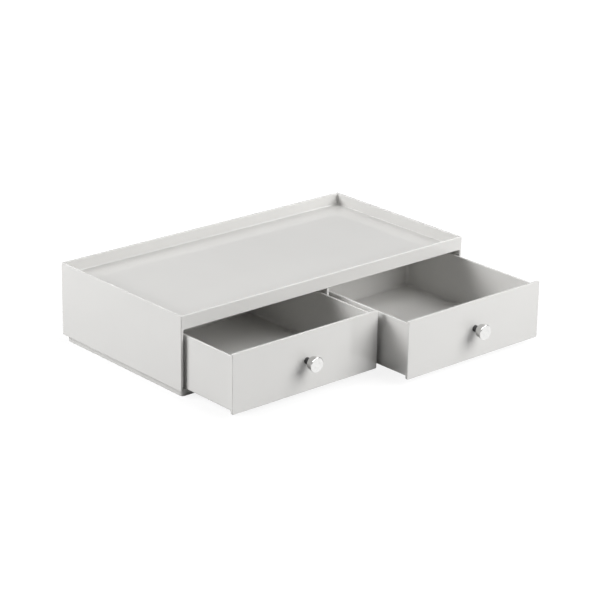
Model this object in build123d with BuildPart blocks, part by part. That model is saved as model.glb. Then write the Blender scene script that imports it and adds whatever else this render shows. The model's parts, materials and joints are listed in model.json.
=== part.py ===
"""Stackable desktop organizer: a case with a tray top and two drawers side by side.

Millimetres, +Z up, +X to the right, front towards -Y.
The origin is the middle of the plinth's resting face. The drawers stand partly open.
"""

import os
from math import asin, degrees

from build123d import *

os.makedirs("parts", exist_ok=True)

# Case shell
case_width = 304.0
case_depth = 158.0
wall_height = 63.0
case_wall = 2.4
case_corner_radius = 0.9
rim_height = 10.0
rim_edge_radius = 0.8
tray_corner_radius = 1.6
tray_floor_radius = 1.0
deck_thickness = 1.8
lower_edge_radius = 0.5
opening_corner_radius = 1.5
opening_chamfer = 0.5

# Base plate
floor_thickness = 2.0
plinth_height = 5.5
plinth_wall = 2.4
plinth_corner_radius = 3.0
plinth_edge_radius = 0.6
stack_clearance = 0.5

# Partition between the bays
partition_thickness = 2.4
partition_setback = 1.0
partition_edge_radius = 0.5
tab_length = 24.0
tab_end_distance = 28.0
tab_clearance = 0.1

# Drawer tubs
side_clearance = 1.8
tub_top_clearance = 4.6
back_clearance = 4.0
tub_wall = 1.8
tub_floor = 2.0
tub_corner_radius = 3.0
cavity_corner_radius = 2.4
cavity_floor_radius = 1.8
tub_rim_radius = 0.5
tub_lower_radius = 0.8

# Drawer fronts
front_thickness = 2.0
front_side_lap = 0.3
front_floor_lap = 1.7
front_top_gap = 1.5
front_corner_radius = 1.4
front_edge_radius = 0.35
closing_gap = 0.2

# Knobs
stem_diameter = 5.6
stem_length = 5.2
head_back_diameter = 10.6
head_face_diameter = 12.8
head_length = 7.6
head_shoulder_radius = 1.2
head_bevel = 0.6
face_dome = 0.4
knob_rise = 1.0

# Knob screws and washers
screw_diameter = 3.0
screw_length = 10.0
screw_head_diameter = 5.6
screw_head_height = 2.2
screw_head_radius = 0.8
recess_width = 0.9
recess_span = 3.2
recess_depth = 1.2
washer_diameter = 8.0
washer_thickness = 0.8
through_clearance = 0.4
thread_clearance = 0.1
thread_runout = 1.0

# How far each drawer stands open
left_opening = 57.1
right_opening = 90.4

# Levels and places that follow from the sizes above
front_y = -case_depth / 2
back_inner_y = case_depth / 2 - case_wall
bay_depth = back_inner_y - front_y
wall_base = plinth_height
floor_top = wall_base + floor_thickness
rim_top = wall_base + wall_height
deck_top = rim_top - rim_height
deck_under = deck_top - deck_thickness
bay_span = case_width - 2 * case_wall
bay_width = (bay_span - partition_thickness) / 2
bay_x = (partition_thickness + bay_width) / 2

tub_width = bay_width - 2 * side_clearance
tub_length = bay_depth - back_clearance + closing_gap
tub_height = deck_under - floor_top - tub_top_clearance

front_width = bay_width + 2 * front_side_lap
front_bottom = floor_top - front_floor_lap
front_top = deck_under - front_top_gap
front_height = front_top - front_bottom
knob_z = (front_bottom + front_top) / 2 + knob_rise

clamped_thickness = front_thickness + tub_wall + washer_thickness
screw_engagement = screw_length - clamped_thickness
through_radius = (screw_diameter + through_clearance) / 2


def bay_outline(distance, margin):
    """The mouth of the two bays, some distance behind the case's front and larger all round by a margin."""
    with BuildSketch(Plane.XZ.offset(-front_y - distance)) as outline:
        with Locations((0, wall_base - margin)):
            Rectangle(
                bay_span + 2 * margin,
                deck_under - wall_base + 2 * margin,
                align=(Align.CENTER, Align.MIN),
            )
        fillet(outline.vertices().group_by(Axis.Y)[-1], opening_corner_radius + margin)
    return outline.sketch


# Case shell: walls, sunk deck and rim, open in front and below
with BuildPart() as case_shell:
    with BuildSketch(Plane.XY.offset(wall_base)):
        RectangleRounded(case_width, case_depth, case_corner_radius)
    extrude(amount=wall_height)
    fillet(case_shell.edges().group_by(Axis.Z)[0], lower_edge_radius)
    with BuildSketch(Plane.XY.offset(deck_top)):
        RectangleRounded(case_width - 2 * case_wall, case_depth - 2 * case_wall, tray_corner_radius)
    extrude(amount=rim_height, mode=Mode.SUBTRACT)
    deck_face = case_shell.faces().filter_by(Axis.Z).group_by(Axis.Z)[-2].sort_by(SortBy.AREA)[-1]
    fillet(deck_face.outer_wire().edges(), tray_floor_radius)
    fillet(case_shell.edges().group_by(Axis.Z)[-1], rim_edge_radius)
    extrude(bay_outline(0, 0), amount=-bay_depth, mode=Mode.SUBTRACT)
    loft([bay_outline(0, opening_chamfer), bay_outline(opening_chamfer, 0)], ruled=True, mode=Mode.SUBTRACT)
case_shell.part.label = "case_shell"
export_step(case_shell.part, "parts/case_shell.step")


# Base plate: drawer floor, plinth skirt and a rib under the partition
plinth_width = case_width - 2 * (case_wall + stack_clearance)
plinth_depth = case_depth - 2 * (case_wall + stack_clearance)
tab_places = [
    front_y + partition_setback + tab_end_distance,
    back_inner_y - tab_end_distance,
]
with BuildPart() as base_plate:
    with BuildSketch(Plane.XY.offset(wall_base)):
        with Locations((0, (front_y + back_inner_y) / 2)):
            Rectangle(bay_span, bay_depth)
    extrude(amount=floor_thickness)
    with BuildSketch(Plane.XY):
        RectangleRounded(plinth_width, plinth_depth, plinth_corner_radius)
        RectangleRounded(
            plinth_width - 2 * plinth_wall,
            plinth_depth - 2 * plinth_wall,
            plinth_corner_radius,
            mode=Mode.SUBTRACT,
        )
        Rectangle(plinth_wall, plinth_depth - plinth_wall)
    extrude(amount=plinth_height)
    fillet(base_plate.faces().sort_by(Axis.Z)[0].outer_wire().edges(), plinth_edge_radius)
    with BuildSketch(Plane.XY.offset(wall_base)):
        with Locations(*[(0, y) for y in tab_places]):
            Rectangle(partition_thickness + 2 * tab_clearance, tab_length + 2 * tab_clearance)
    extrude(amount=floor_thickness, mode=Mode.SUBTRACT)
base_plate.part.label = "base_plate"
export_step(base_plate.part, "parts/base_plate.step")


# Partition between the bays, with two tabs plugged into the floor
partition_depth = bay_depth - partition_setback
with BuildPart() as centre_partition:
    with BuildSketch(Plane.XY.offset(floor_top)):
        with Locations((0, back_inner_y - partition_depth / 2)):
            Rectangle(partition_thickness, partition_depth)
    extrude(amount=deck_under - floor_top)
    front_edges = centre_partition.edges().filter_by(Axis.Z).group_by(Axis.Y)[0]
    fillet(front_edges, partition_edge_radius)
    with BuildSketch(Plane.XY.offset(wall_base)):
        with Locations(*[(0, y) for y in tab_places]):
            Rectangle(partition_thickness, tab_length)
    extrude(amount=floor_thickness)
centre_partition.part.label = "centre_partition"
export_step(centre_partition.part, "parts/centre_partition.step")


# The two drawers, each a tub with its front, knob, screw and washer
for side, x, opening in (("left", -bay_x, left_opening), ("right", bay_x, right_opening)):
    joint_y = front_y - closing_gap - opening
    face_y = joint_y - front_thickness
    inner_y = joint_y + tub_wall
    head_y = inner_y + washer_thickness

    # Planes square to the knob's axis, looking out to the front
    joint_plane = Plane(origin=(x, joint_y, knob_z), x_dir=(1, 0, 0), z_dir=(0, -1, 0))
    face_plane = Plane(origin=(x, face_y, knob_z), x_dir=(1, 0, 0), z_dir=(0, -1, 0))
    inner_plane = Plane(origin=(x, inner_y, knob_z), x_dir=(1, 0, 0), z_dir=(0, -1, 0))
    head_plane = Plane(origin=(x, head_y, knob_z), x_dir=(1, 0, 0), z_dir=(0, -1, 0))

    # Tub: square front corners behind the front plate, round corners at the back
    with BuildPart() as drawer_tub:
        with BuildSketch(Plane(origin=(x, joint_y + tub_length / 2, floor_top))):
            Rectangle(tub_width, tub_length)
        extrude(amount=tub_height)
        fillet(drawer_tub.edges().filter_by(Axis.Z).group_by(Axis.Y)[-1], tub_corner_radius)
        lower_edges = drawer_tub.faces().sort_by(Axis.Z)[0].edges().sort_by(Axis.Y)[1:]
        fillet(lower_edges, tub_lower_radius)
        with BuildSketch(Plane(origin=(x, joint_y + tub_length / 2, floor_top + tub_floor))):
            RectangleRounded(tub_width - 2 * tub_wall, tub_length - 2 * tub_wall, cavity_corner_radius)
        extrude(amount=tub_height - tub_floor, mode=Mode.SUBTRACT)
        cavity_floor = drawer_tub.faces().filter_by(Axis.Z).group_by(Axis.Z)[1].sort_by(SortBy.AREA)[-1]
        fillet(cavity_floor.outer_wire().edges(), cavity_floor_radius)
        fillet(drawer_tub.edges().group_by(Axis.Z)[-1], tub_rim_radius)
        with BuildSketch(joint_plane):
            Circle(through_radius)
        extrude(amount=-tub_wall, mode=Mode.SUBTRACT)
    drawer_tub.part.label = f"{side}_drawer_tub"
    export_step(drawer_tub.part, f"parts/{side}_drawer_tub.step")

    # Front plate
    with BuildPart() as drawer_front:
        with BuildSketch(joint_plane):
            with Locations((0, -knob_rise)):
                RectangleRounded(front_width, front_height, front_corner_radius)
        extrude(amount=front_thickness)
        fillet(drawer_front.faces().sort_by(Axis.Y)[0].edges(), front_edge_radius)
        with BuildSketch(joint_plane):
            Circle(through_radius)
        extrude(amount=front_thickness, mode=Mode.SUBTRACT)
    drawer_front.part.label = f"{side}_drawer_front"
    export_step(drawer_front.part, f"parts/{side}_drawer_front.step")

    # Knob: a turned profile of radius across and distance from the front plate along
    stem_radius = stem_diameter / 2
    back_radius = head_back_diameter / 2
    face_radius = head_face_diameter / 2
    face_distance = stem_length + head_length
    flat_radius = face_radius - head_bevel
    dome_radius = (flat_radius**2 + face_dome**2) / (2 * face_dome)
    dome_angle = degrees(asin(flat_radius / dome_radius))
    knob_axis = Axis((x, face_y, knob_z), (0, -1, 0))
    with BuildPart() as knob:
        with BuildSketch(Plane(origin=(x, face_y, knob_z), x_dir=(0, 0, 1), z_dir=(1, 0, 0))):
            with BuildLine():
                Polyline(
                    (0, face_distance),
                    (0, 0),
                    (stem_radius, 0),
                    (stem_radius, stem_length),
                    (back_radius, stem_length),
                    (face_radius, face_distance - face_dome - head_bevel),
                    (flat_radius, face_distance - face_dome),
                )
                CenterArc((0, face_distance - dome_radius), dome_radius, 90 - dome_angle, dome_angle)
            make_face()
        revolve(axis=knob_axis)
        shoulder_circles = knob.edges().filter_by(GeomType.CIRCLE).group_by(Axis.Y)[-2]
        fillet(shoulder_circles.sort_by(SortBy.RADIUS)[-1], head_shoulder_radius)
        with BuildSketch(face_plane):
            Circle((screw_diameter + thread_clearance) / 2)
        extrude(amount=screw_engagement + thread_runout, mode=Mode.SUBTRACT)
    knob.part.label = f"{side}_knob"
    export_step(knob.part, f"parts/{side}_knob.step")

    # Screw: a shank through washer, tub and front plate into the knob, and a pan head with a cross recess
    with BuildPart() as knob_screw:
        with BuildSketch(head_plane):
            Circle(screw_diameter / 2)
        extrude(amount=screw_length)
        with BuildSketch(head_plane):
            Circle(screw_head_diameter / 2)
        extrude(amount=-screw_head_height)
        fillet(knob_screw.edges().filter_by(GeomType.CIRCLE).sort_by(Axis.Y)[-1], screw_head_radius)
        with BuildSketch(head_plane.offset(-screw_head_height)):
            Rectangle(recess_span, recess_width)
            Rectangle(recess_width, recess_span)
        extrude(amount=recess_depth, mode=Mode.SUBTRACT)
    knob_screw.part.label = f"{side}_knob_screw"
    export_step(knob_screw.part, f"parts/{side}_knob_screw.step")

    # Washer under the screw's head
    with BuildPart() as knob_washer:
        with BuildSketch(inner_plane):
            Circle(washer_diameter / 2)
            Circle(through_radius, mode=Mode.SUBTRACT)
        extrude(amount=-washer_thickness)
    knob_washer.part.label = f"{side}_knob_washer"
    export_step(knob_washer.part, f"parts/{side}_knob_washer.step")
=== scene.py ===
# %% [markdown]
# # A desktop organizer with two drawers
# The real object is a low case moulded in glossy light-grey plastic. Its top is a shallow tray, its foot
# is a plinth, and two drawers with turned chrome knobs slide in bays beneath the tray. The frame holds
# its solids at their real size, in metres, with +Z up and the drawers opening towards -Y. The mouldings
# are right as they come, so this lesson gives them their finish, turns finer knobs, and then sets up
# floor, light and camera.

# %% Load the frame
import json
import math

import bpy
from mathutils import Matrix, Vector


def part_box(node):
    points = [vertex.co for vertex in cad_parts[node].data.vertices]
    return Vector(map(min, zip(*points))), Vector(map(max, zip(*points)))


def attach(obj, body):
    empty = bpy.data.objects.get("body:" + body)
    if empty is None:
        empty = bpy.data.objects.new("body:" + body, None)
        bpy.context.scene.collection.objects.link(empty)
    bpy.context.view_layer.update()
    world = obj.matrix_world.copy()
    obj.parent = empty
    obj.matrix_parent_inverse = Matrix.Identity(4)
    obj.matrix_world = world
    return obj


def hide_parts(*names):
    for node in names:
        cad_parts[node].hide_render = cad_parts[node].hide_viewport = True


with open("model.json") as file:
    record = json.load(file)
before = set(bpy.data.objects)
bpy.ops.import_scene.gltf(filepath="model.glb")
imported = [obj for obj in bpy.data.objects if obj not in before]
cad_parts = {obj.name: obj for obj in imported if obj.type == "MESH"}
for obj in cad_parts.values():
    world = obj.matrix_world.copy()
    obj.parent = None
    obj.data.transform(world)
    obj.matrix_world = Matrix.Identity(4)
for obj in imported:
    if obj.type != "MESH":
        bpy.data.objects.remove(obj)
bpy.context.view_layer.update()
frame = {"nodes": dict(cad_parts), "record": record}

MM = 0.001

# %% [markdown]
# ## The knobs
# Each drawer is pulled by one knob, turned from a metal bar: a slim stem, a head that widens towards its
# face, a bevelled rim and a faintly domed face. It could be shaped from a cylinder, ring by ring. A lathe
# sweeps one profile about an axis, and Spin does the same, so the profile is drawn here as a chain of
# edges. A small plane, merged to one vertex, starts the chain, and Extrude draws it on from point to
# point. An operator acts on all that is selected, so every piece starts from an empty selection.

# %% Draw a profile
def start_profile(name, points):
    """A chain of edges through the points."""
    bpy.ops.object.select_all(action="DESELECT")
    bpy.ops.mesh.primitive_plane_add(size=MM, location=points[0])
    obj = bpy.context.object
    obj.name = name
    obj.data.name = name
    bpy.ops.object.transform_apply(location=True, rotation=True, scale=True)
    bpy.ops.object.mode_set(mode="EDIT")
    bpy.ops.mesh.select_all(action="SELECT")
    bpy.ops.mesh.merge(type="CENTER")
    for here, there in zip(points, points[1:]):
        bpy.ops.mesh.extrude_region_move(TRANSFORM_OT_translate={"value": there - here})
    bpy.ops.object.mode_set(mode="OBJECT")
    print(name, "has a profile of", len(obj.data.vertices), "points")
    return obj


# %% [markdown]
# On a polished part no corner is quite sharp, and the small rounds carry the thin bright lines that make
# metal look like metal. A Bevel modifier could round the turned mesh, but a bevel on the chain's corners,
# before the spin, gives clean rings that follow the turning.

# %% Round a corner of a profile
SAME_PLACE = 0.01 * MM


def round_corner(obj, corner, offset, segments):
    """Rounds the corner of a chain, from the given distance before it to the same distance after it."""
    for vertex in obj.data.vertices:
        vertex.select = (vertex.co - corner).length < SAME_PLACE
    for edge in obj.data.edges:
        edge.select = False
    bpy.ops.object.mode_set(mode="EDIT")
    bpy.ops.mesh.select_mode(type="VERT")
    bpy.ops.mesh.bevel(offset=offset, segments=segments, affect="VERTICES")
    bpy.ops.object.mode_set(mode="OBJECT")
    print(obj.name, "has a corner rounded by", round(offset / MM, 2), "mm")


# %% [markdown]
# Spin turns the chain once round the knob's axis. The last ring falls on the first and the ends meet on
# the axis, so the doubles are merged, and only then are the normals turned outwards, because they can't
# be told on an open surface. Smooth shading by angle keeps the bevel's edges crisp.

# %% Turn a profile
WELD_DISTANCE = 0.001 * MM
CRISP_ANGLE = math.radians(40)


def spin_profile(obj, centre, axis, steps):
    """Turns a chain about an axis into a closed surface with its faces outwards."""
    bpy.ops.object.select_all(action="DESELECT")
    obj.select_set(True)
    bpy.context.view_layer.objects.active = obj
    bpy.ops.object.mode_set(mode="EDIT")
    bpy.ops.mesh.select_all(action="SELECT")
    bpy.ops.mesh.spin(steps=steps, angle=2 * math.pi, center=centre, axis=axis)
    bpy.ops.mesh.select_all(action="SELECT")
    bpy.ops.mesh.remove_doubles(threshold=WELD_DISTANCE)
    bpy.ops.mesh.normals_make_consistent(inside=False)
    bpy.ops.object.mode_set(mode="OBJECT")
    bpy.ops.object.shade_smooth_by_angle(angle=CRISP_ANGLE)
    print(obj.name, "is turned, with", len(obj.data.polygons), "faces")


# %% [markdown]
# The knob's length and width come from its solid in the frame, and the sizes below shape what lies
# between: the threaded hole, the stem, the shoulder at the head's back, the bevel and the dome. The dome
# is a shallow parabola, which at this depth can't be told from the arc that a lathe cuts.

# %% Turn the knobs
SIDES = ("left", "right")
STEM_RADIUS = 2.8 * MM
STEM_LENGTH = 5.2 * MM
HEAD_BACK_RADIUS = 5.3 * MM
HEAD_BEVEL = 0.6 * MM
FACE_DOME = 0.4 * MM
BORE_RADIUS = 1.55 * MM
BORE_DEPTH = 6.4 * MM
SHOULDER_ROUND = 1.2 * MM
SHOULDER_SEGMENTS = 8
NECK_ROUND = 0.5 * MM
RIM_ROUND = 0.22 * MM
FINE_SEGMENTS = 4
DOME_RINGS = 8
KNOB_STEPS = 112


def turn_knob(side):
    """One knob, standing on its drawer's front."""
    low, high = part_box(f"{side}_knob")
    centre = Vector(((low.x + high.x) / 2, high.y, (low.z + high.z) / 2))
    length = high.y - low.y
    face_radius = (high.x - low.x) / 2
    flat_radius = face_radius - HEAD_BEVEL

    def at(radius, out):
        return centre + Vector((0, -out, radius))

    neck = at(STEM_RADIUS, STEM_LENGTH)
    shoulder = at(HEAD_BACK_RADIUS, STEM_LENGTH)
    rim = at(face_radius, length - FACE_DOME - HEAD_BEVEL)
    face_edge = at(flat_radius, length - FACE_DOME)
    bore = [at(0, BORE_DEPTH), at(BORE_RADIUS, BORE_DEPTH), at(BORE_RADIUS, 0)]
    dome = []
    for ring in range(1, DOME_RINGS + 1):
        share = 1 - ring / DOME_RINGS
        dome.append(at(flat_radius * share, length - FACE_DOME * share**2))
    outside = [at(STEM_RADIUS, 0), neck, shoulder, rim, face_edge]
    knob = start_profile(f"{side}_knob_turned", bore + outside + dome)
    round_corner(knob, neck, NECK_ROUND, FINE_SEGMENTS)
    round_corner(knob, shoulder, SHOULDER_ROUND, SHOULDER_SEGMENTS)
    round_corner(knob, rim, RIM_ROUND, FINE_SEGMENTS)
    round_corner(knob, face_edge, RIM_ROUND, FINE_SEGMENTS)
    spin_profile(knob, centre, (0, 1, 0), KNOB_STEPS)
    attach(knob, f"{side}_drawer")
    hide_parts(f"{side}_knob")
    return knob


knobs = {side: turn_knob(side) for side in SIDES}

# %% [markdown]
# ## Finishes
# A picture could be laid over each surface, but a small network of nodes needs no file and keeps its
# detail at any distance. Patterns read Object coordinates, which are metres here, so a noise of scale 100
# has features of about a centimetre. The first tool below starts a material, and each of the others adds
# one node and hands on its result. A noise seldom leaves its middle range, so vary stretches that range
# to the values that a finish needs.

# %% Tools for the finishes
NOISE_MIDDLE = (0.3, 0.7)


def new_finish(name):
    """A new material, its node tree and its shader."""
    material = bpy.data.materials.new(name)
    material.use_nodes = True
    print("finish:", name)
    return material, material.node_tree, material.node_tree.nodes["Principled BSDF"]


def object_coordinates(tree):
    return tree.nodes.new("ShaderNodeTexCoord").outputs["Object"]


def noise(tree, where, scale, octaves):
    node = tree.nodes.new("ShaderNodeTexNoise")
    node.inputs["Scale"].default_value = scale
    node.inputs["Detail"].default_value = octaves
    tree.links.new(where, node.inputs["Vector"])
    return node.outputs["Fac"]


def ramp(tree, value, span, result):
    """Maps a value from a span to the span of results."""
    node = tree.nodes.new("ShaderNodeMapRange")
    node.inputs["From Min"].default_value = span[0]
    node.inputs["From Max"].default_value = span[1]
    node.inputs["To Min"].default_value = result[0]
    node.inputs["To Max"].default_value = result[1]
    tree.links.new(value, node.inputs["Value"])
    return node.outputs["Result"]


def vary(tree, pattern, result):
    return ramp(tree, pattern, NOISE_MIDDLE, result)


def blend_colours(tree, factor, first, second):
    """A mix of two colours, of which the first may come from another node."""
    node = tree.nodes.new("ShaderNodeMix")
    node.data_type = "RGBA"
    if isinstance(first, tuple):
        node.inputs["A"].default_value = (*first, 1)
    else:
        tree.links.new(first, node.inputs["A"])
    node.inputs["B"].default_value = (*second, 1)
    tree.links.new(factor, node.inputs["Factor"])
    return node.outputs["Result"]


def bump(tree, height, depth, strength, below=None):
    """A bumpy normal, on top of the one below it if there is one."""
    node = tree.nodes.new("ShaderNodeBump")
    node.inputs["Distance"].default_value = depth
    node.inputs["Strength"].default_value = strength
    tree.links.new(height, node.inputs["Height"])
    if below is not None:
        tree.links.new(below, node.inputs["Normal"])
    return node.outputs["Normal"]


# %% [markdown]
# ### Moulded plastic
# The case and drawers are injection moulded in an opaque light grey with a hint of warmth. A polished
# mould leaves a glossy skin, yet never a perfect one: walls sink a little as they cool, so reflections
# waver, and the skin has a faint orange peel. One colour with one roughness would look like no real
# plastic, so slow noises let both drift, and two bumps, a broad one and a fine one, stand for the sink
# and the peel.

# %% Make the plastic
PLASTIC_LIGHT = (0.690, 0.684, 0.668)
PLASTIC_DEEP = (0.672, 0.666, 0.651)
PLASTIC_IOR = 1.5
DRIFT_SCALE = 14
DRIFT_OCTAVES = 3
HAZE_SCALE = 85
HAZE_OCTAVES = 4
SINK_SCALE = 11
SINK_OCTAVES = 1
SINK_DEPTH = 0.4 * MM
SINK_STRENGTH = 0.25
PEEL_SCALE = 520
PEEL_OCTAVES = 2
PEEL_DEPTH = 0.01 * MM
PEEL_STRENGTH = 0.35
CASE_ROUGHNESS = (0.04, 0.08)
DRAWER_ROUGHNESS = (0.05, 0.09)


def moulded_plastic(name, roughness):
    material, tree, shader = new_finish(name)
    where = object_coordinates(tree)
    drift = vary(tree, noise(tree, where, DRIFT_SCALE, DRIFT_OCTAVES), (0, 1))
    haze = vary(tree, noise(tree, where, HAZE_SCALE, HAZE_OCTAVES), roughness)
    sink = bump(tree, noise(tree, where, SINK_SCALE, SINK_OCTAVES), SINK_DEPTH, SINK_STRENGTH)
    peel = bump(tree, noise(tree, where, PEEL_SCALE, PEEL_OCTAVES), PEEL_DEPTH, PEEL_STRENGTH, sink)
    tree.links.new(blend_colours(tree, drift, PLASTIC_LIGHT, PLASTIC_DEEP), shader.inputs["Base Color"])
    tree.links.new(haze, shader.inputs["Roughness"])
    tree.links.new(peel, shader.inputs["Normal"])
    shader.inputs["IOR"].default_value = PLASTIC_IOR
    return material


case_plastic = moulded_plastic("glossy grey case plastic", CASE_ROUGHNESS)
drawer_plastic = moulded_plastic("glossy grey drawer plastic", DRAWER_ROUGHNESS)

# %% [markdown]
# ### Chrome
# The knobs are polished and chrome plated over the fine rings that turning leaves. Chrome reflects about
# three fifths of the light, so its colour is a middle grey, and what it shows is mostly the room. The stem
# is given a painted shade: a dark colour stands in for the shade that falls on it under the knob's head.
# A second material on the stem's faces would end in a hard line, so a ramp along the knob's axis mixes
# the painted shade in. A Mapping node brings each knob's middle to the origin, where the rings have their
# centre.

# %% Make the chrome
CHROME = (0.63, 0.628, 0.62)
CHROME_DEEP = (0.59, 0.588, 0.58)
CHROME_ROUGHNESS = (0.08, 0.14)
# painted shade: the dark colour of the stem stands in for the shade under the knob's head
STEM_PAINTED_SHADE = (0.09, 0.09, 0.092)
STEM_SHADE_FADE = 0.4 * MM
CLOUD_SCALE = 420
CLOUD_OCTAVES = 3
RING_SCALE = 900
RING_WANDER = 0.4
RING_DEPTH = 0.002 * MM
RING_STRENGTH = 0.3


def turned_chrome(name, knob):
    material, tree, shader = new_finish(name)
    corners = [Vector(corner) for corner in knob.bound_box]
    middle = sum(corners, Vector()) / len(corners)
    stem_start = max(corner.y for corner in corners) - middle.y - STEM_LENGTH
    mapping = tree.nodes.new("ShaderNodeMapping")
    mapping.inputs["Location"].default_value = -middle
    tree.links.new(object_coordinates(tree), mapping.inputs["Vector"])
    where = mapping.outputs["Vector"]
    rings = tree.nodes.new("ShaderNodeTexWave")
    rings.wave_type = "RINGS"
    rings.rings_direction = "Y"
    rings.inputs["Scale"].default_value = RING_SCALE
    rings.inputs["Distortion"].default_value = RING_WANDER
    tree.links.new(where, rings.inputs["Vector"])
    along = tree.nodes.new("ShaderNodeSeparateXYZ")
    tree.links.new(where, along.inputs["Vector"])
    # the stem's painted shade fades in along the knob's axis, behind the head
    stem_shade = ramp(tree, along.outputs["Y"], (stem_start, stem_start + STEM_SHADE_FADE), (0, 1))
    cloud = noise(tree, where, CLOUD_SCALE, CLOUD_OCTAVES)
    plated = blend_colours(tree, vary(tree, cloud, (0, 1)), CHROME, CHROME_DEEP)
    tree.links.new(blend_colours(tree, stem_shade, plated, STEM_PAINTED_SHADE), shader.inputs["Base Color"])
    tree.links.new(vary(tree, cloud, CHROME_ROUGHNESS), shader.inputs["Roughness"])
    tree.links.new(bump(tree, rings.outputs["Fac"], RING_DEPTH, RING_STRENGTH), shader.inputs["Normal"])
    shader.inputs["Metallic"].default_value = 1.0
    return material


for side, knob in knobs.items():
    knob.data.materials.append(turned_chrome(f"turned chrome {side}", knob))

# %% [markdown]
# ### Zinc
# The screws and washers inside the drawers are zinc plated: greyer and duller than chrome, with a little
# cloudiness. One noise drives colour and roughness together, because the dull patches of such a plating
# are both darker and rougher, and a fine bump gives it its grain.

# %% Make the zinc
ZINC_LIGHT = (0.62, 0.62, 0.63)
ZINC_DEEP = (0.50, 0.50, 0.52)
ZINC_ROUGHNESS = (0.26, 0.40)
ZINC_CLOUD_SCALE = 700
ZINC_CLOUD_OCTAVES = 4
GRAIN_SCALE = 3000
GRAIN_OCTAVES = 2
GRAIN_DEPTH = 0.01 * MM
GRAIN_STRENGTH = 0.4


def zinc_plate(name):
    material, tree, shader = new_finish(name)
    where = object_coordinates(tree)
    cloud = noise(tree, where, ZINC_CLOUD_SCALE, ZINC_CLOUD_OCTAVES)
    grain = bump(tree, noise(tree, where, GRAIN_SCALE, GRAIN_OCTAVES), GRAIN_DEPTH, GRAIN_STRENGTH)
    dulling = vary(tree, cloud, (0, 1))
    tree.links.new(blend_colours(tree, dulling, ZINC_LIGHT, ZINC_DEEP), shader.inputs["Base Color"])
    tree.links.new(vary(tree, cloud, ZINC_ROUGHNESS), shader.inputs["Roughness"])
    tree.links.new(grain, shader.inputs["Normal"])
    shader.inputs["Metallic"].default_value = 1.0
    return material


zinc = zinc_plate("zinc plate")

# %% [markdown]
# ### Dressing the pieces
# The record names the finish of each piece by its material slot. Each solid could be dressed by its own
# name, but going by slots is shorter and misses none. Only the slot of a solid's object changes, and its
# mesh stays as it is.

# %% Dress the pieces
finishes = {"case_plastic": case_plastic, "drawer_plastic": drawer_plastic, "screw_steel": zinc}
for subpart in frame["record"]["subparts"]:
    finish = finishes.get(subpart["material_slot"])
    if finish is not None:
        frame["nodes"][subpart["node"]].material_slots[0].material = finish
        print(subpart["node"], "wears", finish.name)

# %% [markdown]
# ## The stage
# The photograph is a catalogue picture on pure white. A curved backdrop could be modelled for it, but a
# large flat floor is enough, because the room behind it is painted white as well. The floor's paint will
# depend on the distance from the object, so the rectangle from the case's back to the left drawer's front
# is measured here.

# %% Lay the floor
FLOOR_SIZE = 6.0

bpy.ops.object.select_all(action="DESELECT")
bpy.ops.mesh.primitive_plane_add(size=FLOOR_SIZE, location=(0, 0, 0))
floor = bpy.context.object
floor.name = "floor"
case_low, case_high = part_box("case_shell")
front_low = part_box("left_drawer_front")[0]
footprint_low = Vector((case_low.x, front_low.y, 0))
footprint_high = Vector((case_high.x, case_high.y, 0))
print("footprint:", [round(v, 3) for v in footprint_low], "to", [round(v, 3) for v in footprint_high])

# %% [markdown]
# Two more tools are needed for the stage: one joins two values in a Math node, the other gives a point's
# distance from the rectangle. A picture of a soft blot could stand for that distance, but it can be worked
# out. Take the point's offset from the middle, drop the signs, take away half the size and raise what is
# negative to zero. The length of what is left is the distance.

# %% Tools for the stage
def join(tree, operation, first, second):
    """A Math node on two values of the tree."""
    node = tree.nodes.new("ShaderNodeMath")
    node.operation = operation
    tree.links.new(first, node.inputs[0])
    tree.links.new(second, node.inputs[1])
    return node.outputs["Value"]


def distance_from_box(tree, low, high):
    """How far a point of the floor lies outside the rectangle between two corners."""
    vector = object_coordinates(tree)
    middle = (low + high) / 2
    steps = (("SUBTRACT", middle), ("ABSOLUTE", None), ("SUBTRACT", high - middle), ("MAXIMUM", Vector()))
    for operation, operand in steps:
        node = tree.nodes.new("ShaderNodeVectorMath")
        node.operation = operation
        tree.links.new(vector, node.inputs[0])
        if operand is not None:
            node.inputs[1].default_value = operand
        vector = node.outputs["Vector"]
    length = tree.nodes.new("ShaderNodeVectorMath")
    length.operation = "LENGTH"
    tree.links.new(vector, length.inputs[0])
    return length.outputs["Value"]


# %% [markdown]
# Flooding the floor with light would also wash out the object, so the floor shows itself as white by plain
# emission, and only to the camera and in mirror reflections. Close to the object a part of it stays an
# ordinary matt surface, so that a soft shadow shows. Right beneath the object mirror reflections see that
# matt surface alone, which keeps the narrow gaps between the drawers dark.

# %% Paint the floor
FLOOR_TONE = (0.45, 0.45, 0.45)
FLOOR_GLOW = 1.4
NEAR_SHARE = 0.62
WHITE_REACH = 0.45
MIRROR_REACH = 0.012

pale = bpy.data.materials.new("pale floor")
pale.use_nodes = True
tree = pale.node_tree
tree.nodes.clear()
matt = tree.nodes.new("ShaderNodeBsdfDiffuse")
matt.inputs["Color"].default_value = (*FLOOR_TONE, 1)
white = tree.nodes.new("ShaderNodeEmission")
white.inputs["Strength"].default_value = FLOOR_GLOW
path = tree.nodes.new("ShaderNodeLightPath").outputs
away = distance_from_box(tree, footprint_low, footprint_high)
seen = join(tree, "MULTIPLY", path["Is Camera Ray"], ramp(tree, away, (0, WHITE_REACH), (NEAR_SHARE, 1)))
mirrors = join(tree, "MAXIMUM", path["Is Glossy Ray"], path["Is Transmission Ray"])
mirrored = join(tree, "MULTIPLY", mirrors, ramp(tree, away, (0, MIRROR_REACH), (0, 1)))
mixed = tree.nodes.new("ShaderNodeMixShader")
tree.links.new(join(tree, "MAXIMUM", seen, mirrored), mixed.inputs["Fac"])
tree.links.new(matt.outputs["BSDF"], mixed.inputs[1])
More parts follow.
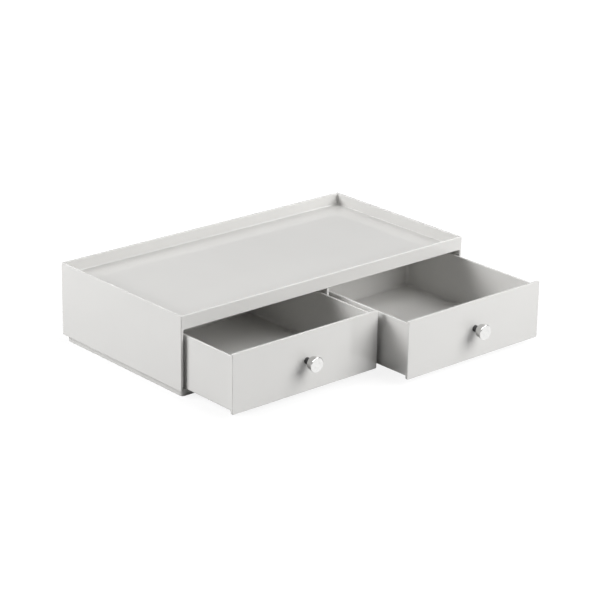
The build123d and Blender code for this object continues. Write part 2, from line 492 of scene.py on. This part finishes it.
tree.links.new(white.outputs["Emission"], mixed.inputs[2])
tree.links.new(mixed.outputs["Shader"], tree.nodes.new("ShaderNodeOutputMaterial").inputs["Surface"])
floor.data.materials.append(pale)
print("floor:", FLOOR_SIZE, "m square, all white from", WHITE_REACH, "m off the object")

# %% [markdown]
# ## Light
# The soft shadows below and to the left of the knobs say that the main light is large and stands in front
# to the right, above the object. Another one behind on the left lights the walls on that side, and a weak
# one hangs over the tray. Points or a sun would cast hard shadows, so all three are area lamps. Their
# power is such that a surface renders about as its colour is written. They stay out of reflections,
# because their images would burn white patches into the glossy tray.

# %% Hang the lamps
AIM = Vector((0, -0.05, 0.03))
KEY_POWER = 27.7
LEFT_POWER = 31.6
TOP_POWER = 1.5


def softbox(name, toward, distance, width, height, power):
    """A rectangular lamp in a direction from the object, facing it."""
    lamp = bpy.data.lights.new(name, "AREA")
    lamp.shape = "RECTANGLE"
    lamp.size = width
    lamp.size_y = height
    lamp.energy = power
    obj = bpy.data.objects.new(name, lamp)
    bpy.context.scene.collection.objects.link(obj)
    direction = Vector(toward).normalized()
    obj.location = AIM + direction * distance
    obj.rotation_euler = direction.to_track_quat("Z", "Y").to_euler()
    obj.visible_glossy = False
    print(name, "at", [round(v, 2) for v in obj.location])


softbox("key softbox", toward=(4.9, -8.0, 6.4), distance=1.5, width=1.2, height=1.2, power=KEY_POWER)
softbox("left softbox", toward=(-8.0, 5.0, 5.0), distance=1.8, width=0.9, height=0.9, power=LEFT_POWER)
softbox("top softbox", toward=(0.0, 1.0, 5.0), distance=1.5, width=0.8, height=0.8, power=TOP_POWER)

# %% [markdown]
# ## The room
# What polished surfaces show is the room: a white sweep behind the object up to a low height, a dimmer
# wall above it, and a row of soft lights round the room, half-way up, which draws the thin light lines
# along the rims and on the knobs. A room could be built for that, but the world can paint it by the
# height of a direction alone. Like the floor's white, it shows only to the camera and in reflections, and
# it casts no light on matt surfaces.

# %% Paint the room
SWEEP_TOP = math.sin(math.radians(8))
WALL_START = math.sin(math.radians(16))
WALL_LIGHT = 0.5
ROW_FOOT = (math.sin(math.radians(34)), math.sin(math.radians(40)))
ROW_HEAD = (math.sin(math.radians(50)), math.sin(math.radians(56)))
ROW_LIGHT = 4.5

world = bpy.data.worlds.new("pale room")
bpy.context.scene.world = world
world.use_nodes = True
tree = world.node_tree
direction = tree.nodes.new("ShaderNodeSeparateXYZ")
tree.links.new(tree.nodes.new("ShaderNodeTexCoord").outputs["Generated"], direction.inputs["Vector"])
height = direction.outputs["Z"]
wall = ramp(tree, height, (SWEEP_TOP, WALL_START), (1, WALL_LIGHT))
above_foot = ramp(tree, height, ROW_FOOT, (0, ROW_LIGHT))
below_head = ramp(tree, height, ROW_HEAD, (1, 0))
row = join(tree, "MULTIPLY", above_foot, below_head)
path = tree.nodes.new("ShaderNodeLightPath").outputs
mirrors = join(tree, "MAXIMUM", path["Is Glossy Ray"], path["Is Transmission Ray"])
shown = join(tree, "MAXIMUM", path["Is Camera Ray"], mirrors)
backdrop = tree.nodes["Background"]
backdrop.inputs["Color"].default_value = (1, 1, 1, 1)
brightness = join(tree, "MULTIPLY", shown, join(tree, "MAXIMUM", wall, row))
tree.links.new(brightness, backdrop.inputs["Strength"])
print("room: a sweep of 1, a wall of", WALL_LIGHT, "and a row of lights of", ROW_LIGHT)

# %% [markdown]
# ## Camera
# The camera stands in front to the left, above the object, far back with a long lens, as the photograph's
# slowly converging edges tell. Its place and angles were worked out from the corners of the case and
# drawers. Aiming it at a target would leave no roll, so its axes are built from three angles instead.

# %% Place the camera
IMAGE_WIDTH = 600
FOCAL_PIXELS = 2150.4
SENSOR_WIDTH = 36.0
CAMERA_PLACE = Vector((-1.10016, -1.28510, 0.65737))
CAMERA_YAW = math.radians(41.553)
CAMERA_PITCH = math.radians(20.536)
CAMERA_ROLL = math.radians(1.010)

forward = Vector((
    math.sin(CAMERA_YAW) * math.cos(CAMERA_PITCH),
    math.cos(CAMERA_YAW) * math.cos(CAMERA_PITCH),
    -math.sin(CAMERA_PITCH),
))
level_right = Vector((math.cos(CAMERA_YAW), -math.sin(CAMERA_YAW), 0))
level_up = level_right.cross(forward)
right = math.cos(CAMERA_ROLL) * level_right + math.sin(CAMERA_ROLL) * level_up
up = math.cos(CAMERA_ROLL) * level_up - math.sin(CAMERA_ROLL) * level_right
turn = Matrix((right, up, -forward)).transposed()

camera_data = bpy.data.cameras.new("camera")
camera_data.sensor_width = SENSOR_WIDTH
camera_data.lens = FOCAL_PIXELS / IMAGE_WIDTH * SENSOR_WIDTH
camera = bpy.data.objects.new("camera", camera_data)
camera.matrix_world = Matrix.Translation(CAMERA_PLACE) @ turn.to_4x4()
bpy.context.scene.collection.objects.link(camera)
bpy.context.scene.camera = camera
bpy.context.scene.view_settings.view_transform = "Standard"
print("lens:", round(camera_data.lens, 1), "mm")
